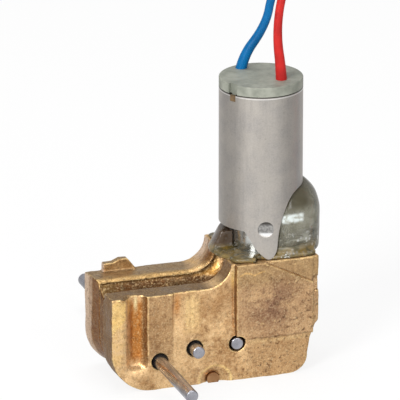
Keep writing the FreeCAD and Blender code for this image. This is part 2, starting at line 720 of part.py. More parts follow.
def brushes():
    """Two leaf brushes that reach from the holder to the commutator."""
    z = (COMMUTATOR_BOTTOM + COMMUTATOR_TOP) / 2
    near = COMMUTATOR_RADIUS + RUNNING
    return Part.makeCompound([
        box(near, 4.7, -0.5, 0.5, z - 0.5, z + 0.5),
        box(-4.7, -near, -0.5, 0.5, z - 0.5, z + 0.5),
    ]).common(rod(4.6, 38, 46))


# ---------------------------------------------------------------- resin


def potting():
    """Resin cast round the motor's foot: a dome at the right, a slab on the collar, a fillet at the left."""
    dome = rod(DOME_RADIUS, COLLAR_Z, DOME_SHOULDER, DOME_X)
    crown = Part.makeSphere(DOME_RADIUS, V(0, 0, 0))
    squash = FreeCAD.Matrix()
    squash.scale(1, 1, DOME_RISE / DOME_RADIUS)
    crown = crown.transformGeometry(squash)
    crown.translate(V(DOME_X, 0, DOME_SHOULDER))
    crown = crown.common(box(-9, 12, -9, 9, DOME_SHOULDER - 0.01, 40))
    slab = box(*RESIN_SLAB, COLLAR_Z, RESIN_SLAB_TOP)
    slab = slab.makeFillet(RESIN_SLAB_ROUND, [e for e in slab.Edges if abs(e.tangentAt(0).z) > 0.9])
    fillet = Part.makeCone(FRAME_RADIUS + 3.0, CAN_RADIUS - 0.6, 3.4, V(-0.6, 0.0, COLLAR_Z), UP)
    fillet = fillet.common(box(-9, -1.5, -9, 9, COLLAR_Z, 30))
    fillet = fillet.cut(box(-9, 9, -9, -0.6, COLLAR_Z + 0.7, 30))
    body = dome.fuse(crown).fuse(slab).fuse(fillet)
    can = rod(CAN_RADIUS, TONGUE_TIP - 1, CAN_TOP).cut(can_cutter())
    body = body.cut(can).cut(rod(FRAME_RADIUS, FRAME_FOOT, CAN_TOP))
    body = body.cut(rod(WORM_WELL_RADIUS, COLLAR_Z - 1, FRAME_FOOT))
    ear = housing_block(SPLIT_Y, REAR_Y, COLLAR_Z + EAR_RISE).cut(can_seat())
    body = body.cut(ear)
    front = box(*TONGUE_FREE, -CAN_RADIUS - 2, -CAN_RADIUS + CAN_WALL / 2, COLLAR_Z - 1, COLLAR_Z + 3)
    front.rotate(V(0, 0, 0), UP, MOTOR_TURN)
    return body.cut(front).cut(stake(STAKE_RADIUS, 3))


# ---------------------------------------------------------------- leads


def lead_tube(route, radius):
    """A round tube along straight runs joined by tangent arcs, its length and the arcs' radii."""
    points = [V(*p) for p in route]
    runs = [(b - a).Length for a, b in zip(points, points[1:])]
    edges = []
    here = points[0]
    length = 0.0
    radii = []
    for k in range(1, len(points) - 1):
        before = (points[k] - points[k - 1]).normalize()
        after = (points[k + 1] - points[k]).normalize()
        reach = 0.45 * min(runs[k - 1], runs[k])
        turn = before.getAngle(after)
        bend = reach / math.tan(turn / 2)
        radii.append(bend)
        start = points[k] - before * reach
        end = points[k] + after * reach
        centre_way = (after - before).normalize()
        centre = points[k] + centre_way * (bend / math.cos(turn / 2))
        middle = centre - centre_way * bend
        edges.append(Part.LineSegment(here, start).toShape())
        edges.append(Part.Arc(start, middle, end).toShape())
        length += (start - here).Length + bend * turn
        here = end
    edges.append(Part.LineSegment(here, points[-1]).toShape())
    length += (points[-1] - here).Length
    way = points[1] - points[0]
    profile = Part.Wire(Part.makeCircle(radius, points[0], way))
    tube = Part.Wire(edges).makePipeShell([profile], True, False)
    return tube, length, radii


def lead_tip(route):
    """The stripped and tinned end of a lead."""
    last, before = V(*route[-1]), V(*route[-2])
    return Part.makeCylinder(TIP_RADIUS, TIP_LENGTH, last, last - before)


# ---------------------------------------------------------------- the pieces


def main():
    os.makedirs("parts", exist_ok=True)
    space = inner_space()
    save("front_housing", front_housing(space))
    save("rear_housing", rear_housing(space))
    save("rivet_pin", rivet())
    for k, (x, z) in enumerate(DOWEL_PLACES):
        save(f"dowel_pin_{k + 1}", cross_rod(PIN_RADIUS, x, z, *DOWEL_ENDS))

    bush_bore = SHAFT_RADIUS + RUNNING
    for name, place in bush_places().items():
        save(name, cross_ring(BUSH_RADIUS, bush_bore, *place))

    blind_end = REAR_CAVITY + BUSH_LENGTH - BLIND_GAP
    to_output = math.atan2(-OUTPUT_DROP, OUTPUT_X - SECOND_X)
    save("first_shaft", cross_shaft(FIRST_X, FIRST_Z, FACE_Y - FLUSH_FRONT, blind_end))
    save("second_shaft", cross_shaft(SECOND_X, FIRST_Z, FACE_Y - STUB_FRONT, blind_end))
    save("output_shaft", output_shaft())
    for end, y in clip_places().items():
        save(f"output_{end}_clip", output_clip(y))
    save("worm_wheel", worm_wheel())
    save("first_pinion", spur_gear(PINION_1_TEETH, FIRST_X, FIRST_Z, REAR_GEARS, 0.0))
    half_tooth = math.pi / GEAR_2_TEETH
    save("second_gear", spur_gear(GEAR_2_TEETH, SECOND_X, FIRST_Z, REAR_GEARS, half_tooth))
    save("second_pinion", spur_gear(PINION_2_TEETH, SECOND_X, FIRST_Z, FRONT_GEARS, to_output))
    half_tooth = math.pi / OUTPUT_TEETH
    save("output_gear", spur_gear(
        OUTPUT_TEETH, OUTPUT_X, OUTPUT_Z, FRONT_GEARS, to_output + math.pi + half_tooth))
    for name, (x, z, front) in zip(SHAFT_NAMES, shaft_places()):
        y0 = front + GEAR_SIDE_GAP - WASHER_THICKNESS
        save(f"{name}_washer", cross_ring(WASHER_RADIUS, SHAFT_RADIUS, x, z, y0, y0 + WASHER_THICKNESS))

    save("worm", worm())
    save("worm_foot_bush", ring(
        MOTOR_BUSH_RADIUS, MOTOR_SHAFT_RADIUS + RUNNING, FOOT_BUSH_BOTTOM, FOOT_BUSH_TOP))
    top_bush = CAN_TOP - MOTOR_BUSH_LENGTH
    save("motor_shaft", rod(MOTOR_SHAFT_RADIUS, FOOT_BUSH_BOTTOM + 0.1, CAN_TOP - 0.3))
    save("motor_bottom_bush", ring(
        MOTOR_BUSH_RADIUS, MOTOR_SHAFT_RADIUS + RUNNING, FRAME_FOOT, FRAME_FOOT + MOTOR_BUSH_LENGTH))
    save("motor_top_bush", ring(MOTOR_BUSH_RADIUS, MOTOR_SHAFT_RADIUS + RUNNING, top_bush, CAN_TOP))
    save("motor_can", motor_can())
    save("can_stake", can_stake())
    save("can_key_glue", key_glue())
    save("motor_end_cap", end_cap())
    save("motor_frame", motor_frame())
    save("motor_magnets", magnets())
    save("rotor_core", rotor_core())
    save("rotor_windings", rotor_windings())
    save("commutator", ring(COMMUTATOR_RADIUS, MOTOR_SHAFT_RADIUS, COMMUTATOR_BOTTOM, COMMUTATOR_TOP))
    save("brush_holder", brush_holder())
    save("brushes", brushes())
    save("lead_tags", Part.makeCompound([lead_tag(RED_ROUTE), lead_tag(BLUE_ROUTE)]))
    save("potting_resin", potting())

    for colour, route in (("red", RED_ROUTE), ("blue", BLUE_ROUTE)):
        tube, length, radii = lead_tube(route, LEAD_RADIUS)
        share = tube.Volume / (math.pi * LEAD_RADIUS ** 2 * length)
        shown = ", ".join(f"{r:.1f}" for r in radii)
        print(f"{colour} lead: length {length:.1f} mm, volume share {share:.4f}, radii {shown}")
        save(f"{colour}_lead", tube)
        save(f"{colour}_lead_tip", lead_tip(route))


main()
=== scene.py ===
import json
import math

import bpy
import numpy as np
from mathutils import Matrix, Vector, noise
from mathutils.bvhtree import BVHTree


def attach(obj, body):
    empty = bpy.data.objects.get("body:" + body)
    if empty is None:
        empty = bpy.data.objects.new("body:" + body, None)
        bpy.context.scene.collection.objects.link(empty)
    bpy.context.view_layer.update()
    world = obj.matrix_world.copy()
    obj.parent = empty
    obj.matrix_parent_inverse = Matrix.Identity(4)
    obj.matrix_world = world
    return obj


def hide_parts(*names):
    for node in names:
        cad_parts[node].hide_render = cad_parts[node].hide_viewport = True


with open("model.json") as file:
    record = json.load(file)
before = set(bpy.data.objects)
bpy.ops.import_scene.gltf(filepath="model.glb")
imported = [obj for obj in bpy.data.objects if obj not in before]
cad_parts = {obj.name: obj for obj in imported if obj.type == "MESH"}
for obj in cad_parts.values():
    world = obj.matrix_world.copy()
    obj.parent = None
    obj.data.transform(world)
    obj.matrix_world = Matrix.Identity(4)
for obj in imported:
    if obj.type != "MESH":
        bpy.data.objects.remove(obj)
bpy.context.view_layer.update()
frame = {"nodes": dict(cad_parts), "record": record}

MM = 0.001
NODES = frame["nodes"]

# The leads' routes, in millimetres, as the CAD model has them
RED_ROUTE = (
    (2.4, -2.8, 43.6),
    (2.4, -2.8, 47.6),
    (1.55, -2.6, 54.2),
    (2.6, -2.1, 60.7),
    (5.8, -1.5, 67.8),
    (12.6, -1.1, 74.6),
    (24.4, -1.6, 78.4),
    (35.0, -2.3, 71.0),
    (40.6, -2.8, 56.0),
    (41.6, -3.5, 35.0),
    (41.0, -4.6, 14.6),
    (40.4, -13.0, 0.75),
    (39.2, -24.0, 0.75),
)
BLUE_ROUTE = (
    (-2.0, 4.6, 43.6),
    (-2.0, 4.6, 47.9),
    (2.05, 3.6, 53.7),
    (2.75, 3.0, 59.0),
    (6.0, 3.0, 66.2),
    (12.6, 3.7, 72.6),
    (23.2, 4.8, 74.6),
    (31.6, 5.2, 67.0),
    (36.0, 5.0, 52.5),
    (36.4, 4.4, 33.0),
    (35.6, 3.4, 14.6),
    (35.0, -4.8, 0.75),
    (33.4, -16.0, 0.75),
)
LEAD_DIAMETER = 1.3
LEAD_SWELL = (1.5, 1.3, 1.03)     # the insulation is thicker where it leaves the cap
RED_LENGTH = 0.141                # metres, from the cap on
BLUE_LENGTH = 0.133


# ---------------------------------------------------------------- node helpers


WHITE = (1.0, 1.0, 1.0)


class Nodes:
    """Builds one node tree."""

    def __init__(self, tree):
        self.tree = tree

    def add(self, kind, **settings):
        node = self.tree.nodes.new(kind)
        for key, value in settings.items():
            setattr(node, key, value)
        return node

    def put(self, socket, value):
        """Links an output to a socket, or sets the socket's own value."""
        if isinstance(value, bpy.types.NodeSocket):
            self.tree.links.new(value, socket)
        elif isinstance(value, tuple) and len(value) == 3 and socket.type == "RGBA":
            socket.default_value = (*value, 1.0)
        else:
            socket.default_value = value

    def calc(self, operation, a, b, clamp=False):
        node = self.add("ShaderNodeMath", operation=operation, use_clamp=clamp)
        self.put(node.inputs[0], a)
        self.put(node.inputs[1], b)
        return node.outputs[0]

    def product(self, share, *others):
        """The shares multiplied, each product kept between 0 and 1."""
        for other in others:
            share = self.calc("MULTIPLY", share, other, clamp=True)
        return share

    def span(self, value, low, high, to_low=0.0, to_high=1.0):
        """Goes smoothly from to_low to to_high while the value goes from low to high."""
        node = self.add("ShaderNodeMapRange", interpolation_type="SMOOTHSTEP")
        self.put(node.inputs["Value"], value)
        self.put(node.inputs["From Min"], low)
        self.put(node.inputs["From Max"], high)
        self.put(node.inputs["To Min"], to_low)
        self.put(node.inputs["To Max"], to_high)
        return node.outputs["Result"]

    def fade(self, value, low, high):
        """1 below low and 0 above high."""
        return self.span(value, low, high, to_low=1.0, to_high=0.0)


class Shader(Nodes):
    """Builds one procedural material. Sizes are in millimetres of the piece's own frame."""

    INPUTS = {
        "color": "Base Color",
        "metal": "Metallic",
        "rough": "Roughness",
        "ior": "IOR",
        "specular": "Specular IOR Level",
        "transmission": "Transmission Weight",
        "normal": "Normal",
    }

    def __init__(self, name, **settings):
        self.mat = bpy.data.materials.new(name)
        self.mat.use_nodes = True
        super().__init__(self.mat.node_tree)
        self.bsdf = self.tree.nodes["Principled BSDF"]
        self.coords = self.add("ShaderNodeTexCoord").outputs["Object"]
        self.set(**settings)

    def set(self, **inputs):
        for key, value in inputs.items():
            self.put(self.bsdf.inputs[self.INPUTS[key]], value)

    def stretched(self, x=1.0, y=1.0, z=1.0):
        """The coordinates scaled along each axis: below 1 draws a pattern out along it."""
        node = self.add("ShaderNodeMapping")
        self.put(node.inputs["Vector"], self.coords)
        node.inputs["Scale"].default_value = (x, y, z)
        return node.outputs["Vector"]

    def noise(self, size, detail=3.0, rough=0.55, distortion=0.0, coords=None):
        node = self.add("ShaderNodeTexNoise")
        self.put(node.inputs["Vector"], coords or self.coords)
        node.inputs["Scale"].default_value = 1 / (size * MM)
        node.inputs["Detail"].default_value = detail
        node.inputs["Roughness"].default_value = rough
        node.inputs["Distortion"].default_value = distortion
        return node.outputs["Fac"]

    def cells(self, size):
        """The distance from the nearest of many scattered points, as a share of their spacing."""
        node = self.add("ShaderNodeTexVoronoi")
        self.put(node.inputs["Vector"], self.coords)
        node.inputs["Scale"].default_value = 1 / (size * MM)
        return node.outputs["Distance"]

    def axis(self, which):
        """One coordinate in millimetres."""
        split = self.add("ShaderNodeSeparateXYZ")
        self.put(split.inputs[0], self.coords)
        return self.calc("MULTIPLY", split.outputs[which], 1 / MM)

    def mix(self, share, a, b, blend="MIX"):
        node = self.add("ShaderNodeMix", data_type="RGBA", blend_type=blend)
        self.put(node.inputs["Factor"], share)
        self.put(node.inputs["A"], a)
        self.put(node.inputs["B"], b)
        return node.outputs["Result"]

    def bump(self, height, depth, strength, under=None):
        """Relief of the given depth in millimetres, on top of the relief under it."""
        node = self.add("ShaderNodeBump")
        node.inputs["Strength"].default_value = strength
        node.inputs["Distance"].default_value = depth * MM
        self.put(node.inputs["Height"], height)
        if under is not None:
            self.put(node.inputs["Normal"], under)
        return node.outputs["Normal"]


def srgb(r, g, b):
    """A colour written as 0 to 255 per channel, as linear light."""
    return tuple(
        c / 255 / 12.92 if c <= 10 else ((c / 255 + 0.055) / 1.055) ** 2.4
        for c in (r, g, b)
    )


def paint(name, material):
    slots = NODES[name].data.materials
    slots.clear()
    slots.append(material)


def add_object(name, data):
    thing = bpy.data.objects.new(name, data)
    bpy.context.scene.collection.objects.link(thing)
    return thing


def turn_towards(thing, direction):
    """Points a camera or a lamp."""
    thing.rotation_mode = "QUATERNION"
    thing.rotation_quaternion = direction.to_track_quat("-Z", "Y")


# ---------------------------------------------------------------- camera


VIEW_AZIMUTH = -18.6
VIEW_ELEVATION = 19.3
AIM = Vector((-8.88, 2.99, 26.6)) * MM
LENS = 500.0
SENSOR = 36.0
FRAME_WIDTH = 61.9 * MM


def make_camera():
    data = bpy.data.cameras.new("camera")
    data.lens = LENS
    data.sensor_width = SENSOR
    data.clip_start = 0.01
    data.clip_end = 20.0
    camera = add_object("camera", data)
    a, e = math.radians(VIEW_AZIMUTH), math.radians(VIEW_ELEVATION)
    back = Vector((math.sin(a) * math.cos(e), -math.cos(a) * math.cos(e), math.sin(e)))
    camera.location = AIM + back * (FRAME_WIDTH * LENS / SENSOR)
    turn_towards(camera, -back)
    bpy.context.scene.camera = camera


# ---------------------------------------------------------------- leads


def lead_material(name, color, dark):
    s = Shader(name, rough=0.5, specular=0.18)
    patch = s.noise(2.5, detail=3)
    fine = s.noise(0.25, detail=4)
    s.set(
        color=s.mix(s.span(patch, 0.35, 0.7), color, dark),
        rough=s.span(fine, 0.3, 0.7, to_low=0.34, to_high=0.5),
        normal=s.bump(fine, depth=0.02, strength=0.5),
    )
    return s.mat


def make_lead(name, route, material):
    """A round tube that follows the route's control points."""
    curve = bpy.data.curves.new(name, "CURVE")
    curve.dimensions = "3D"
    curve.bevel_depth = LEAD_DIAMETER / 2 * MM
    curve.bevel_resolution = 6
    curve.resolution_u = 16
    curve.use_fill_caps = True
    spline = curve.splines.new("NURBS")
    spline.points.add(len(route) - 1)
    for point, place in zip(spline.points, route):
        point.co = (*(c * MM for c in place), 1.0)
    for point, swell in zip(spline.points, LEAD_SWELL):
        point.radius = swell
    spline.order_u = 3
    spline.use_endpoint_u = True
    curve.materials.append(material)
    return add_object(name, curve)


def make_leads():
    red = lead_material("red_insulation", srgb(184, 36, 32), srgb(160, 30, 28))
    blue = lead_material("blue_insulation", srgb(0, 98, 154), srgb(0, 84, 136))
    for colour, route, material, length in (
        ("red", RED_ROUTE, red, RED_LENGTH),
        ("blue", BLUE_ROUTE, blue, BLUE_LENGTH),
    ):
        lead = make_lead(f"{colour}_lead_run", route, material)
        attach(lead, "drive_body")
        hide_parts(f"{colour}_lead")


# ---------------------------------------------------------------- cast surfaces


CASTING_VOXEL = 0.12           # the grid of each skin, in millimetres
RESIN_VOXEL = 0.15
SHAFT_PLACES = ((-6.1, 6.05), (-13.0, 6.05), (-18.655, 4.55))     # x and z
SHAFT_REACH = (1.45, 2.0)      # round a shaft the skin stays true, then it may soften
JOINT_Y = 1.7                  # where the two halves meet
FACE_LEFT = -26.4
CHANNEL_FLOOR_Z = (12.6, 13.2)
COLLAR_RISE = (-11.5, -9.0)    # the x at which the flat top turns up to the collar
RIVET_AT = (-9.7, 0.3)

SKY_WAYS = 48                  # directions in which a point looks for open air
SKY_CELL = 0.45                # the points of one cell of this size share one answer,
SKY_TURNS = 1.4                # if they face much the same way: a higher number is stricter
SKY_START = 0.2                # how far above the surface a look begins
SKY_REACH = 30.0               # and how far it goes
SKY_GRAZING = 0.15             # flatter directions than this don't count

SEEN_OUTSIDE = (0.06, 0.2)     # the openness from which a point counts as outside
SEEN_CLEAN = (0.02, 0.5)       # and from which it gets no painted shade and dirt
SEEN_ROUNDS = 6                # rounds of smoothing: of the openness,
EDGE_ROUNDS = 5                # of every outer edge,
WORN_ROUNDS = 150              # of the worn edges,
BULGE_ROUNDS = 24              # and to tell ridges from hollows
RAISED = (0.03, 0.11)          # how far a ridge stands out that gets bare metal and a painted highlight
HOLLOWED = (0.03, 0.12)        # and how deep a hollow lies that gets painted shade and dirt

LONG_WAVE, LONG_WAVE_DEPTH = 4.5, 0.09     # the dents, each with its size and its depth
SHORT_WAVE, SHORT_WAVE_DEPTH = 1.7, 0.05
GRAIN, GRAIN_DEPTH = 0.6, 0.022
FINE, FINE_DEPTH = 0.3, 0.008
WAVES_TO_ONE = 0.1             # brings both waves together to about -1 to 1

LEFTWARD = (0.4, 0.8)          # parts of a normal that count as facing left,
SLOPING = (0.1, 0.5)           # and as facing partly up

# Colours of both halves, 0 to 255
SHADE_AND_DIRT = (66, 42, 22)
HOLLOW_SHADE_AND_DIRT = (70, 46, 26)
RUBBED_HIGHLIGHT = (255, 222, 156)

# Colours of the front half
GOLD = (234, 194, 142)
GOLD_MOTTLE = (178, 132, 84)
BESIDE_SLOT = (172, 132, 90)
BELOW_LEDGE = (184, 142, 96)
PANEL = (206, 166, 122)
PANEL_TOP = (184, 150, 104)
STAIN = (136, 98, 76)
LEDGE_SHADOW = (112, 74, 48)
LEDGE_HIGHLIGHT = (244, 208, 150)
CREASE_HIGHLIGHT = (255, 208, 134)
DROP_HIGHLIGHT = (255, 222, 140)
MIDDLE_HIGHLIGHT = (255, 218, 152)
RIM_HIGHLIGHT = (250, 208, 138)
RECESS_REFLECTION_ORANGE = (190, 116, 38)
ABOVE_SLOT_HIGHLIGHT = (255, 214, 130)
SLOT_GLINT = (255, 236, 178)
CHANNEL_FLOOR_SHADE = (72, 38, 2)
CHANNEL_SIDE_LIGHT = (158, 112, 40)
DECK = (120, 92, 58)
SLOPE = (240, 200, 140)
LEFT_END = (134, 96, 56)
LEFT_HOLLOW_SHADE = (128, 80, 30)
BOWL_SHADE = (192, 154, 106)
BOWL_LIP_HIGHLIGHT = (255, 220, 150)
PIT = (92, 62, 42)
BRIGHT_GRAIN = (252, 214, 152)

# Colours of the rear half
REAR_BASE = (186, 148, 100)
REAR_MOTTLE = (158, 118, 76)
REAR_TOP = (154, 128, 92)
REAR_SHOULDER = (204, 164, 100)
REAR_SLOPE = (236, 196, 140)
REAR_END_LIGHT = (242, 212, 184)
REAR_END_SHADE = (140, 86, 34)
REAR_PIT = (100, 72, 46)


def mesh_points(mesh):
    """The mesh's points, in millimetres."""
    flat = np.empty(len(mesh.vertices) * 3)
    mesh.vertices.foreach_get("co", flat)
    return flat.reshape(-1, 3) / MM


def put_points(mesh, points):
    mesh.vertices.foreach_set("co", (points * MM).ravel())
    mesh.update()


def mesh_normals(mesh):
    flat = np.empty(len(mesh.vertices) * 3)
    mesh.vertex_normals.foreach_get("vector", flat)
    return flat.reshape(-1, 3)


class Net:
    """The neighbours of each point of a mesh."""

    def __init__(self, mesh):
        pairs = np.empty(len(mesh.edges) * 2, np.int64)
        mesh.edges.foreach_get("vertices", pairs)
        self.a, self.b = pairs.reshape(-1, 2).T
        self.size = len(mesh.vertices)
        starts = np.bincount(self.a, minlength=self.size)
        ends = np.bincount(self.b, minlength=self.size)
        self.count = np.maximum(starts + ends, 1)

    def average(self, values):
        if values.ndim == 1:
            ahead = np.bincount(self.a, values[self.b], self.size)
            behind = np.bincount(self.b, values[self.a], self.size)
            return (ahead + behind) / self.count
        return np.stack([self.average(column) for column in values.T], 1)

    def smooth(self, values, rounds):
        for _ in range(rounds):
            values = values + (self.average(values) - values) * 0.5
        return values


def remeshed(node, voxel):
    """An even copy of a CAD node's surface, to be given a cast skin."""
    name = f"{node}_casting"
    piece = add_object(name, NODES[node].data.copy())
    modifier = piece.modifiers.new("voxels", "REMESH")
    modifier.mode = "VOXEL"
    modifier.voxel_size = voxel * MM
    modifier.use_smooth_shade = True
    graph = bpy.context.evaluated_depsgraph_get()
    mesh = bpy.data.meshes.new_from_object(piece.evaluated_get(graph))
    piece.modifiers.clear()
    piece.data = mesh
    mesh.name = name
    mesh.materials.clear()
    return piece


def hand_over(piece, node, material):
    """The skin takes its CAD node's place on the drive."""
    piece.data.materials.append(material)
    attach(piece, "drive_body")
    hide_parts(node)


def solid_tree(nodes):
    points, faces = [], []
    for node in nodes:
        mesh = NODES[node].data
        start = len(points)
        points += [v.co / MM for v in mesh.vertices]
        faces += [[start + k for k in face.vertices] for face in mesh.polygons]
    return BVHTree.FromPolygons(points, faces)


def sky_ways():
    """Directions spread evenly over a sphere, along a spiral."""
    ways = []
    for k in range(SKY_WAYS):
        up = 1 - (k + 0.5) / (SKY_WAYS / 2)
        turn = k * math.pi * (3 - math.sqrt(5))
        flat = math.sqrt(1 - up * up)
        ways.append((flat * math.cos(turn), flat * math.sin(turn), up))
    return np.array(ways)


def openness(points, normals, tree):
    """How much of the surroundings each point sees, from 0 to 1, worked out once per small cell."""
    cells = np.round(points / SKY_CELL)
    turns = np.round(normals * SKY_TURNS)
    keys = np.concatenate([cells, turns], 1).astype(np.int64)
    _, first, back = np.unique(keys, axis=0, return_index=True, return_inverse=True)
    seen = np.empty(len(first))
    sky = sky_ways()
    ways = [Vector(way) for way in sky]
    for n, k in enumerate(first):
        facing = sky @ normals[k]
        start = Vector(points[k] + normals[k] * SKY_START)
        total = free = 0.0
        for way, share in zip(ways, facing):
            if share > SKY_GRAZING:
                total += share
                if tree.ray_cast(start, way, SKY_REACH)[0] is None:
                    free += share
        seen[n] = free / total
    return seen[back.ravel()]


def field(points, size, seed):
    """Smooth noise from about -1 to 1 at each point; size in millimetres."""
    shift = Vector((seed * 7.31, seed * 3.17, seed * 5.73))
    return np.array([noise.noise(Vector(p) / size + shift) for p in points])


def step(value, low, high):
    """0 below low, 1 above high, and smooth between."""
    t = np.clip((value - low) / (high - low), 0, 1)
    return t * t * (3 - 2 * t)


def within(value, low, high, soft):
    """1 between low and high, with both ends softened."""
    return step(value, low - soft, low + soft) * (1 - step(value, high - soft, high + soft))


def line(value, place, half, soft_half):
    """1 on a thin line, out to half its width, and 0 beyond soft_half."""
    return 1 - step(np.abs(value - place), half, soft_half)


def area(x, z, left, right, foot, top, soft):
    """1 inside a rectangle as seen from the front; soft is for its sides and for its ends."""
    soft_x, soft_z = soft
    return within(x, left, right, soft_x) * within(z, foot, top, soft_z)


def spot(x, z, at, half):
    """A soft oval mark as seen from the front."""
    across = (x - at[0]) / half[0]
    up = (z - at[1]) / half[1]
    return np.exp(-across ** 2 - up ** 2)


class Skin:
    """The surface of one half of the gearbox, with its noises and a colour for every point."""

    def __init__(self, points, normals, waves, grain, fine):
        self.x, self.y, self.z = points.T
        self.normals = normals
        self.waves = waves
        self.grain = grain
        self.fine = fine
        self.colours = None

    def fill(self, colour):
        self.colours = np.tile(np.array(srgb(*colour)), (len(self.x), 1))

    def tint(self, colour, mask, strength):
        """Carries the colours towards another one where the mask is above 0."""
        share = (mask * strength)[:, None]
        self.colours = self.colours + (np.array(srgb(*colour)) - self.colours) * share

    def store(self, mesh):
        solid = np.ones((len(self.x), 1))
        rgba = np.concatenate([np.clip(self.colours, 0, 1), solid], 1)
        mesh.attributes.new("tint", "FLOAT_COLOR", "POINT").data.foreach_set("color", rgba.ravel())


def worn_edges(x, y, z):
    """Where the cutter's edges run out softly: beside and below the slot, and the relief's foot."""
    face = step(-y, 4.6, 5.4)
    slot = area(x, z, left=-24.6, right=-23.0, foot=2.6, top=20.0, soft=(0.4, 0.5))
    foot = area(x, z, left=-24.6, right=-20.0, foot=2.2, top=5.6, soft=(0.5, 0.5))
    relief = area(x, z, left=-15.6, right=-7.6, foot=7.6, top=12.2, soft=(0.5, 0.8))
    return np.clip(slot + foot + relief, 0, 1) * face


def soften(net, points, rounds, share):
    """Rounds the surface where the share is above 0."""
    return points + (net.smooth(points, rounds) - points) * share[:, None]


def cast_skin(node, tree, colouring, material):
    """A cast and filed skin over one half of the gearbox: soft edges, dents, and its colours."""
    piece = remeshed(node, CASTING_VOXEL)
    mesh = piece.data
    net = Net(mesh)
    points = mesh_points(mesh)
    normals = mesh_normals(mesh)
    seen = net.smooth(openness(points, normals, tree), SEEN_ROUNDS)

    # The shape: what can't be seen, and the fits round the shafts, stay true to the CAD
    outer = step(seen, *SEEN_OUTSIDE)
    for x, z in SHAFT_PLACES:
        outer = outer * step(np.hypot(points[:, 0] - x, points[:, 2] - z), *SHAFT_REACH)
    points = soften(net, points, EDGE_ROUNDS, outer)
    points = soften(net, points, WORN_ROUNDS, worn_edges(*points.T) * outer)
    bulge = ((points - net.smooth(points, BULGE_ROUNDS)) * normals).sum(1)
    waves = (field(points, LONG_WAVE, 1) * LONG_WAVE_DEPTH
             + field(points, SHORT_WAVE, 2) * SHORT_WAVE_DEPTH)
    grain = field(points, GRAIN, 3)
    fine = field(points, FINE, 4)
    dents = waves + grain * GRAIN_DEPTH + fine * FINE_DEPTH
    points += normals * (dents * outer)[:, None]
    points[:, 2] = np.maximum(points[:, 2], 0)
    put_points(mesh, points)

    # Its colours, then painted shade and dirt in the corners, and painted highlights on the rubbed
    # ridges
    skin = Skin(points, normals, waves / WAVES_TO_ONE, grain, fine)
    colouring(skin)
    seam = line(skin.y, JOINT_Y, 0.06, 0.3) * step(skin.z, *CHANNEL_FLOOR_Z)
    # Painted shade with dirt where little of the surroundings is open, and the dark seam at the
    # joint
    skin.tint(SHADE_AND_DIRT, np.maximum(1 - step(seen, *SEEN_CLEAN), seam), 0.8)
    # Painted shade with dirt in the hollows
    skin.tint(HOLLOW_SHADE_AND_DIRT, step(-bulge, *HOLLOWED), 0.6)
    # Bare rubbed metal with a painted highlight along the ridges, kept out of the hollow at the
    # left end
    hollow_end = step(-normals[:, 0], 0.3, 0.7) * step(skin.y, -2.2, -1.6)
    rubbed_highlight = step(bulge, *RAISED) * step(grain, -0.5, 0.4) * (1 - hollow_end)
    skin.tint(RUBBED_HIGHLIGHT, rubbed_highlight, 0.75)
    skin.store(mesh)
    hand_over(piece, node, material)


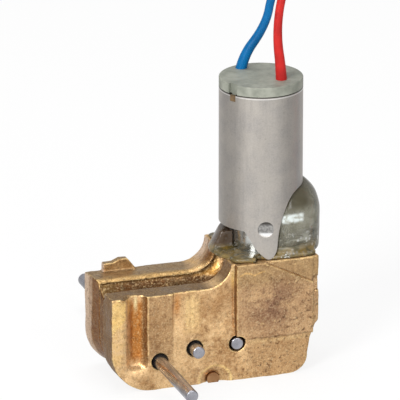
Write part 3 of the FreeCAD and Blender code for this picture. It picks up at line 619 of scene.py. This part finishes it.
def front_colours(skin):
    """The front half: golden, stained on the right panel, painted orange shade and reflection where
    the cutter ran.
    """
    x, y, z = skin.x, skin.y, skin.z
    normal_x, normal_y, normal_z = skin.normals.T
    grain, fine = skin.grain, skin.fine
    mottle = skin.waves + grain * 0.5
    facing = step(-normal_y, 0.3, 0.8)
    skin.fill(GOLD)
    skin.tint(GOLD_MOTTLE, step(mottle, -0.3, 0.8), 0.85)

    # Beside the slot, and below the ledge
    beside = within(x, -20.4, -16.5, 0.15) * step(z, 4.0, 6.0)
    skin.tint(BESIDE_SLOT, beside * facing, 0.7)
    below = step(6.4 - z, 0.0, 0.4) * step(x, -5.5, -3.0)
    skin.tint(BELOW_LEDGE, below * facing, 0.7)

    # The right panel, its stain, and a painted shadow and a painted highlight at its lower ledge
    panel = step(x, -6.5, -6.2) * step(z, 6.5, 6.7) * facing
    skin.tint(PANEL, panel, 0.75)
    skin.tint(PANEL_TOP, panel * step(z, 14.2, 16.4), 0.8)
    stain = spot(x, z, at=(-0.4, 12.2), half=(4.8, 4.4)) * step(mottle, -1.1, 0.3)
    skin.tint(STAIN, stain * facing, 0.95)
    # A painted shadow as a dark line along the ledge
    ledge_shadow = line(z, 6.75, 0.05, 0.3) * step(x, -5.0, -4.0) * step(mottle, -0.9, 0.2)
    skin.tint(LEDGE_SHADOW, ledge_shadow * facing, 0.7)
    # A painted highlight just below the ledge
    ledge_highlight = within(z, 5.7, 6.2, 0.2) * step(x, -4.5, -3.0)
    skin.tint(LEDGE_HIGHLIGHT, ledge_highlight * facing, 0.5)

    # A painted highlight along the crease at the panel's top, and a painted highlight as a drop at
    # its left end
    crease_z = 17.45 + 0.22 * np.sin(x * 2.3) + mottle * 0.12
    crease_highlight = line(z, crease_z, 0.04, 0.24) * within(x, -5.9, -1.6, 0.5) * facing
    skin.tint(CREASE_HIGHLIGHT, crease_highlight * step(grain + fine * 0.5, -0.35, 0.25), 0.8)
    skin.tint(DROP_HIGHLIGHT, spot(x, z, at=(-6.7, 16.6), half=(0.3, 1.3)), 0.9)

    # Painted highlights: the middle of the face in upright bands, and the rim left of the slot
    bands = 0.75 + 0.25 * np.sin(x * 7.0 + mottle)
    middle_highlight = area(x + mottle * 0.5, z + mottle * 0.8,
                  left=-14.4, right=-12.1, foot=9.4, top=14.9, soft=(0.9, 1.4))
    skin.tint(MIDDLE_HIGHLIGHT, middle_highlight * facing * bands, 0.8)
    rim_highlight = area(x + mottle * 0.4, z,
               left=FACE_LEFT, right=-24.2, foot=4.0, top=15.4, soft=(0.5, 1.0))
    skin.tint(RIM_HIGHLIGHT, rim_highlight * facing * step(mottle, -0.6, 0.5), 0.7)

    # Orange painted shade and reflection where the cutter ran: slot, flute right of it, panel
    # groove
    slot = area(x + mottle * 0.3, z + mottle * 0.6,
                left=-23.2, right=-20.9, foot=4.6, top=14.6, soft=(0.45, 1.0))
    flute = spot(x, z, at=(-15.8, 13.4), half=(0.6, 1.9))
    groove = area(x, z, left=-6.9, right=-6.45, foot=7.0, top=17.0, soft=(0.2, 0.8))
    groove = groove * step(-normal_y, -0.2, 0.4)
    recess_reflection = np.clip(slot * facing + flute * facing * 0.9 + groove * 0.5, 0, 1)
    skin.tint(RECESS_REFLECTION_ORANGE, recess_reflection, 0.9)
    # A painted highlight on the slanting face above and left of the slot
    above_highlight = step(z - 12.6 - (x + 23.4) * 1.04, -0.1, 0.5)
    above_highlight = above_highlight * area(x, z, left=FACE_LEFT, right=-23.2, foot=9.6, top=15.0, soft=(0.4, 0.4))
    skin.tint(ABOVE_SLOT_HIGHLIGHT, above_highlight * facing, 0.6)
    glint = (spot(x, z, at=(-23.6, 7.0), half=(0.35, 1.1))
             + spot(x, z, at=(-22.2, 14.2), half=(0.28, 1.2)))
    skin.tint(SLOT_GLINT, glint * facing, 0.9)

    # The half-round channel along the joint, in painted shade on its floor and painted light up its
    # side, and the deck in front of it
    channel = area(x, z, left=-27, right=-6.6, foot=12.5, top=18.6, soft=(0.4, 0.4))
    channel = channel * within(y, -2.95, 2.0, 0.15)
    rising = step(z, 14.6, 15.1)
    skin.tint(CHANNEL_FLOOR_SHADE, channel * (1 - rising), 0.9)
    skin.tint(CHANNEL_SIDE_LIGHT, channel * rising, 0.9)
    deck = step(normal_z, 0.55, 0.9) * within(z, 13.5, 20, 0.3) * (1 - step(x, *COLLAR_RISE))
    skin.tint(DECK, deck * (1 - channel), 0.9)
    slope = step(normal_z, *SLOPING) * within(x, -9.6, -6.6, 0.6)
    skin.tint(SLOPE, slope * (1 - channel), 0.7)

    # The left end, browner inside its hollow as painted shade
    left = step(-normal_x, *LEFTWARD)
    hollow = step(y, -2.9, -2.1)
    skin.tint(LEFT_END, left * (1 - hollow), 0.9)
    skin.tint(LEFT_HOLLOW_SHADE, left * hollow, 0.9)

    # The bowl round the rivet in painted shade, with a painted highlight on its lip, fainter at the
    # left
    rivet_x, rivet_z = RIVET_AT
    away = np.hypot((x - rivet_x) / 2.6, (z - rivet_z) / 2.5)
    skin.tint(BOWL_SHADE, (1 - step(away, 0.6, 0.95)) * facing, 0.7)
    lip_highlight = within(away, 0.93, 1.06, 0.08) * step(mottle + (x - rivet_x) * 0.3, -1.6, -0.4)
    skin.tint(BOWL_LIP_HIGHLIGHT, lip_highlight * facing, 0.95)

    # Dark pits towards the lower right, and bright grains everywhere on the face
    lower = step(x - z * 0.5, -19.0, 2.0) * (1 - step(z - 18.1 + x * 0.5, 0.0, 0.2))
    skin.tint(PIT, step(fine + grain * 0.7, 0.36, 0.66) * lower, 0.75)
    skin.tint(BRIGHT_GRAIN, step(grain - fine, 0.5, 1.0) * facing, 0.4)


def rear_colours(skin):
    """The rear half: paler on top, golden over its shoulder, painted shade brown down the left end.
    """
    y, z = skin.y, skin.z
    normal_x, _, normal_z = skin.normals.T
    skin.fill(REAR_BASE)
    skin.tint(REAR_MOTTLE, step(skin.waves, -0.3, 0.7), 0.8)

    # The flat top, its front shoulder, and the rise to the collar
    flat = 1 - step(skin.x, *COLLAR_RISE)
    skin.tint(REAR_TOP, step(normal_z, 0.5, 0.9) * flat, 0.8)
    shoulder = within(y, 2.0, 3.3, 0.4) * within(z, 13.0, 20.0, 0.2)
    skin.tint(REAR_SHOULDER, shoulder, 0.6)
    skin.tint(REAR_SLOPE, step(normal_z, *SLOPING) * (1 - flat), 0.7)

    # The left end, in painted light and shade across its hollow: pale at the back, brown near the
    # joint
    left = step(-normal_x, *LEFTWARD)
    streak = np.sin(y * 5.0 + z * 0.3 + skin.grain) * 0.15
    outer = step(y + streak * 2, 3.6, 5.6)
    skin.tint(REAR_END_LIGHT, left * outer, 0.9)
    skin.tint(REAR_END_SHADE, left * (1 - outer), 0.9)
    skin.tint(REAR_PIT, step(skin.fine + skin.grain * 0.6, 0.5, 0.8), 0.6)


def casting_material():
    """Brass in the skin's own colours, with mottling, grain and dark specks."""
    s = Shader("cast_brass", metal=0.8, rough=0.4)
    tint = s.add("ShaderNodeAttribute", attribute_name="tint").outputs["Color"]
    large = s.noise(2.2, detail=4, rough=0.65, distortion=0.5)
    medium = s.noise(0.8, detail=4, rough=0.7, distortion=0.3)
    fine = s.noise(0.24, detail=3, rough=0.65)
    specks = s.cells(0.45)
    shade = s.mix(0.75, tint, srgb(120, 84, 54), "MULTIPLY")
    light = s.mix(0.45, tint, srgb(250, 226, 176), "SCREEN")
    color = s.mix(s.span(medium, 0.46, 0.7, to_high=0.62), tint, shade)
    color = s.mix(s.span(fine, 0.5, 0.7, to_high=0.6), color, light)
    color = s.mix(s.span(fine, 0.3, 0.48, to_low=0.55, to_high=0.0), color, shade)
    color = s.mix(s.span(specks, 0.06, 0.15, to_low=0.4, to_high=0.0), color, srgb(84, 60, 40))
    cast = s.bump(medium, depth=0.14, strength=0.6)
    s.set(
        color=color,
        rough=s.span(large, 0.35, 0.65, to_low=0.26, to_high=0.5),
        normal=s.bump(fine, depth=0.05, strength=0.7, under=cast),
    )
    return s.mat


def make_castings():
    tree = solid_tree(("front_housing", "rear_housing", "motor_can", "potting_resin"))
    material = casting_material()
    cast_skin("front_housing", tree, front_colours, material)
    cast_skin("rear_housing", tree, rear_colours, material)


# ---------------------------------------------------------------- resin


RESIN_TRUE = (5.2, 6.2)        # nearer the motor's axis the resin stays true to the CAD
RESIN_ROUNDS = 14              # rounds of smoothing of its corners
RESIN_WAVE, RESIN_WAVE_DEPTH = 2.6, 0.1


def make_resin():
    """The cast resin: the CAD solid with its corners drawn soft and a slightly uneven skin."""
    piece = remeshed("potting_resin", RESIN_VOXEL)
    mesh = piece.data
    points = mesh_points(mesh)
    normals = mesh_normals(mesh)
    free = step(np.hypot(points[:, 0], points[:, 1]), *RESIN_TRUE)
    points = soften(Net(mesh), points, RESIN_ROUNDS, free)
    waves = field(points, RESIN_WAVE, 11) * RESIN_WAVE_DEPTH
    points += normals * (waves * free)[:, None]
    put_points(mesh, points)
    hand_over(piece, "potting_resin", resin_material())


def resin_material():
    """Olive-grey cast resin: painted shade behind the can, with level strata and fine bubbles."""
    s = Shader("casting_resin", rough=0.1, specular=0.5, ior=1.5)
    cloud = s.noise(2.2, detail=4, rough=0.6, distortion=0.8)
    strata = s.noise(0.8, detail=3, rough=0.6, distortion=0.3, coords=s.stretched(x=0.22, y=0.22))
    across = s.axis("X")
    height = s.axis("Z")
    color = s.mix(s.span(cloud, 0.35, 0.65), srgb(160, 158, 142), srgb(126, 122, 100))

    # Painted shade behind the can, and pale and dark strata below
    behind_shade = s.product(s.span(height, 25.6, 27.4), s.span(across, 5.2, 8.4, to_low=1.0, to_high=0.25))
    color = s.mix(s.product(behind_shade, 0.92), color, srgb(66, 60, 42))
    low = s.fade(height, 20.0, 25.0)
    level = s.product(s.span(strata, 0.46, 0.64), low)
    dark = s.product(s.fade(strata, 0.36, 0.44), low)
    color = s.mix(s.product(level, 0.7), color, srgb(190, 190, 178))
    color = s.mix(s.product(dark, 0.7), color, srgb(74, 72, 58))

    # A painted highlight beside the can, and bubbles
    glint = s.product(
        s.span(height, 24.3, 25.0),
        s.fade(height, 25.7, 26.3),
        s.fade(across, 4.5, 5.3),
        s.fade(s.axis("Y"), -2.0, 0.0),
    )
    flaws = s.noise(0.9, detail=3, rough=0.6, distortion=0.5)
    broken = s.span(flaws, 0.38, 0.56, to_low=0.3, to_high=0.95)
    color = s.mix(s.product(glint, broken), color, srgb(214, 222, 220))
    color = s.mix(s.product(s.fade(s.cells(0.8), 0.24, 0.32), low), color, srgb(232, 234, 230))

    # Golden at its foot, painted as the brass showing through; brown in the window at the left
    foot = s.fade(height, 19.6, 21.8)
    left = s.product(s.fade(across, -4.4, -2.2), s.span(height, 19.5, 20.6))
    gold = s.mix(s.span(cloud, 0.4, 0.6), srgb(132, 104, 32), srgb(78, 68, 32))
    color = s.mix(s.product(foot, 0.85), color, gold)
    color = s.mix(s.product(left, 0.92), color, srgb(70, 50, 34))

    # The crazed patch at the tip of the can's tongue
    crazed = s.product(
        s.span(across, 0.9, 1.2),
        s.fade(across, 2.3, 2.7),
        s.fade(height, 19.7, 20.1),
        s.span(s.cells(0.3), 0.28, 0.42, to_low=0.9, to_high=0.0),
    )
    color = s.mix(crazed, color, srgb(236, 238, 234))

    # Clear, but less so where any of these lies
    clear = s.product(
        s.span(left, 0, 1, to_low=0.66, to_high=0.15),
        s.span(behind_shade, 0, 1, to_low=1.0, to_high=0.35),
        s.span(level, 0, 1, to_low=1.0, to_high=0.5),
        s.span(foot, 0, 1, to_low=1.0, to_high=0.4),
        s.span(glint, 0, 1, to_low=1.0, to_high=0.2),
    )
    s.set(
        color=color,
        transmission=clear,
        rough=s.span(strata, 0.3, 0.7, to_low=0.05, to_high=0.16),
        normal=s.bump(s.noise(1.6, detail=3), depth=0.04, strength=0.4),
    )
    return s.mat


# ---------------------------------------------------------------- metals and plastics


CAN_BEVEL_FOOT = (44.94, 45.04)     # heights at the can's upper edge
CAN_BEVEL_TOP = (45.1, 45.18)
CAN_RIM = (45.18, 45.3)
STAKE_SHADE = (24.45, 24.95)         # heights on the stake's face
STAKE_SHINE = (23.15, 23.55)


def steel_material(name, light, dark, rough=0.3):
    """Drawn metal, with fine streaks along Y, which is the way the shafts lie."""
    s = Shader(name, metal=1.0, rough=rough)
    streak = s.noise(0.3, detail=3, rough=0.6, coords=s.stretched(y=0.06))
    cloud = s.noise(1.6, detail=3)
    s.set(
        color=s.mix(s.span(cloud, 0.3, 0.7), light, dark),
        rough=s.span(streak, 0.3, 0.7, to_low=rough - 0.06, to_high=rough + 0.08),
        normal=s.bump(streak, depth=0.01, strength=0.5),
    )
    return s.mat


def nickel_material():
    """The can: drawn nickel with fine spots, a painted highlight along its upper edge and a dark
    rim.
    """
    s = Shader("can_nickel", metal=0.95, rough=0.36)
    draw = s.noise(0.35, detail=3, rough=0.6, coords=s.stretched(z=0.05))
    cloud = s.noise(3.0, detail=4, rough=0.6)
    spots = s.noise(0.5, detail=2, rough=0.5)
    speckle = s.noise(0.22, detail=3, rough=0.7)
    height = s.axis("Z")
    base = s.mix(s.span(cloud, 0.35, 0.7), srgb(186, 180, 172), srgb(174, 169, 164))
    base = s.mix(s.span(spots, 0.62, 0.75, to_high=0.3), base, srgb(146, 139, 130))
    base = s.mix(s.span(speckle, 0.4, 0.6, to_high=0.22), base, srgb(214, 208, 202))
    base = s.mix(s.span(draw, 0.42, 0.62, to_high=0.12), base, srgb(208, 202, 194))
    # A painted highlight along the bevel at the upper edge
    bevel_highlight = s.product(s.span(height, *CAN_BEVEL_FOOT), s.fade(height, *CAN_BEVEL_TOP), 0.8)
    base = s.mix(bevel_highlight, base, srgb(248, 246, 242))
    base = s.mix(s.span(height, *CAN_RIM), base, srgb(52, 50, 44))
    pitted = s.bump(spots, depth=0.02, strength=0.3)
    s.set(
        color=base,
        rough=s.span(draw, 0.3, 0.7, to_low=0.3, to_high=0.44),
        normal=s.bump(draw, depth=0.012, strength=0.5, under=pitted),
    )
    return s.mat


def stake_material():
    """The stake's face: matt grey, with painted shade under its upper edge and a painted highlight
    along its lower.
    """
    s = Shader("stake_steel", metal=0.95, rough=0.42)
    grain = s.noise(0.3, detail=4, rough=0.65)
    height = s.axis("Z")
    base = s.mix(s.span(grain, 0.35, 0.65), srgb(176, 174, 170), srgb(132, 130, 128))
    # Painted shade under the upper edge, and a painted highlight along the lower
    base = s.mix(s.span(height, *STAKE_SHADE, to_high=0.9), base, srgb(70, 66, 62))
    base = s.mix(s.fade(height, *STAKE_SHINE), base, WHITE)
    s.set(color=base, normal=s.bump(grain, depth=0.05, strength=0.6))
    return s.mat


def plain_plastic(name, light, dark, rough=0.5):
    s = Shader(name, rough=rough)
    cloud = s.noise(2.0, detail=4)
    grain = s.noise(0.15, detail=3)
    s.set(
        color=s.mix(s.span(cloud, 0.3, 0.7), light, dark),
        normal=s.bump(grain, depth=0.02, strength=0.5),
    )
    return s.mat


METALS = (
    ("shaft_steel", (176, 176, 184), (150, 150, 156), 0.3),
    ("bush_bronze", (186, 150, 100), (150, 112, 70), 0.38),
    ("gear_brass", (210, 175, 105), (180, 140, 80), 0.32),
    ("pin_copper", (178, 136, 96), (142, 102, 70), 0.42),
    ("winding_copper", (176, 96, 50), (130, 66, 34), 0.35),
    ("core_steel", (120, 120, 122), (96, 96, 98), 0.45),
    ("tinned_copper", (205, 202, 194), (176, 172, 164), 0.3),
    ("frame_steel", (214, 216, 212), (168, 170, 166), 0.2),
)
PLASTICS = (
    ("cap_plastic", (146, 148, 136), (118, 121, 110), 0.5),
    ("magnet_black", (44, 44, 46), (30, 30, 32), 0.5),
    ("holder_plastic", (52, 52, 54), (38, 38, 40), 0.5),
    ("glue_brown", (110, 88, 58), (78, 60, 38), 0.35),
)
DARK_RINGS = (
    "output_front_clip",
    "output_rear_clip",
    "first_front_bush",
    "second_front_bush",
    "output_front_bush",
)


def paint_nodes():
    """Paints every CAD node that is shown itself: one material per slot, and a few by name."""
    by_slot = {"can_nickel": nickel_material()}
    for table, kind in ((METALS, steel_material), (PLASTICS, plain_plastic)):
        for slot, light, dark, rough in table:
            by_slot[slot] = kind(slot, srgb(*light), srgb(*dark), rough)
    for part in frame["record"]["subparts"]:
        material = by_slot.get(part["material_slot"])
        if material:
            paint(part["node"], material)
    paint("can_stake", stake_material())
    ring = steel_material("ring_black", srgb(58, 54, 50), srgb(40, 36, 34), 0.4)
    for node in DARK_RINGS:
        paint(node, ring)


# ---------------------------------------------------------------- room and light


VIEW_SIDE = Vector((-0.319, -0.948, 0.0))
SIDE_LIGHT = 0.42             # how bright the room is at the sides, for light and reflections
FRONT_LIGHT = 0.86            # on the camera's side
BACK_LIGHT = 0.62             # and behind the object
FRONT_EDGE = (0.3, 0.88)      # where the front light begins and is full, as a cosine from VIEW_SIDE
BACK_EDGE = (-0.75, -0.2)     # where the back light is full and ends
FLOOR_HALF = 3.0
FLOOR_COLOUR = (0.86, 0.86, 0.86)
FLOOR_GLOW = 0.82             # the share of its own light that the floor shows to a direct look
LIGHT_AIM = Vector((0, 0, 0.025))
LAMPS = (
    # name, place, size and power
    ("key", (-0.38, -0.34, 0.3), (0.14, 0.3), 2.4),
    ("fill", (0.12, -0.5, 0.3), (0.2, 0.3), 0.7),
    ("top", (0.0, 0.1, 0.6), (0.35, 0.35), 1.3),
)


def room_brightness(room, direction):
    """The room is brightest on the camera's side, like a soft box, and falls off to both sides."""
    towards = room.add("ShaderNodeVectorMath", operation="DOT_PRODUCT")
    room.put(towards.inputs[0], direction)
    room.put(towards.inputs[1], VIEW_SIDE)
    towards = towards.outputs["Value"]
    front = room.span(towards, *FRONT_EDGE, to_low=SIDE_LIGHT, to_high=FRONT_LIGHT)
    behind = room.span(towards, *BACK_EDGE, to_low=BACK_LIGHT, to_high=0.0)
    return room.calc("MAXIMUM", front, behind)


def seen_directly(room, kinds):
    """1 for rays of the given kinds, otherwise 0."""
    path = room.add("ShaderNodeLightPath")
    total = path.outputs[kinds[0]]
    for kind in kinds[1:]:
        total = room.calc("MAXIMUM", total, path.outputs[kind])
    return total


def room_strength(room, direction):
    """White to a direct look, also through the resin; the room's own level to light and gloss."""
    white = seen_directly(room, ("Is Camera Ray", "Is Transmission Ray"))
    return room.calc("MAXIMUM", white, room_brightness(room, direction))


def floor_material():
    material = bpy.data.materials.new("pale_floor")
    material.use_nodes = True
    room = Nodes(material.node_tree)
    room.tree.nodes.clear()
    diffuse = room.add("ShaderNodeBsdfDiffuse")
    room.put(diffuse.inputs["Color"], FLOOR_COLOUR)
    place = room.add("ShaderNodeTexCoord")
    way = room.add("ShaderNodeVectorMath", operation="NORMALIZE")
    room.put(way.inputs[0], place.outputs["Object"])
    glow = room.add("ShaderNodeEmission")
    room.put(glow.inputs["Color"], WHITE)
    room.put(glow.inputs["Strength"], room_strength(room, way.outputs[0]))
    direct = seen_directly(room, ("Is Camera Ray", "Is Glossy Ray", "Is Transmission Ray"))
    mix = room.add("ShaderNodeMixShader")
    room.put(mix.inputs[0], room.product(direct, FLOOR_GLOW))
    room.put(mix.inputs[1], diffuse.outputs[0])
    room.put(mix.inputs[2], glow.outputs[0])
    out = room.add("ShaderNodeOutputMaterial")
    room.put(out.inputs[0], mix.outputs[0])
    return material


def make_floor():
    mesh = bpy.data.meshes.new("floor")
    corners = [(-1, -1), (1, -1), (1, 1), (-1, 1)]
    mesh.from_pydata([(x * FLOOR_HALF, y * FLOOR_HALF, 0) for x, y in corners], [], [(0, 1, 2, 3)])
    mesh.materials.append(floor_material())
    add_object("floor", mesh)


def make_light():
    world = bpy.data.worlds.new("studio")
    world.use_nodes = True
    room = Nodes(world.node_tree)
    back = room.tree.nodes["Background"]
    way = room.add("ShaderNodeTexCoord")
    room.put(back.inputs["Color"], WHITE)
    room.put(back.inputs["Strength"], room_strength(room, way.outputs["Generated"]))
    bpy.context.scene.world = world
    for name, place, size, power in LAMPS:
        data = bpy.data.lights.new(name, "AREA")
        data.shape = "RECTANGLE"
        data.size, data.size_y = size
        data.energy = power
        lamp = add_object(name, data)
        lamp.location = place
        turn_towards(lamp, LIGHT_AIM - Vector(place))
    bpy.context.scene.view_settings.view_transform = "Standard"


make_camera()
make_floor()
make_light()
make_leads()
paint_nodes()
make_castings()
make_resin()
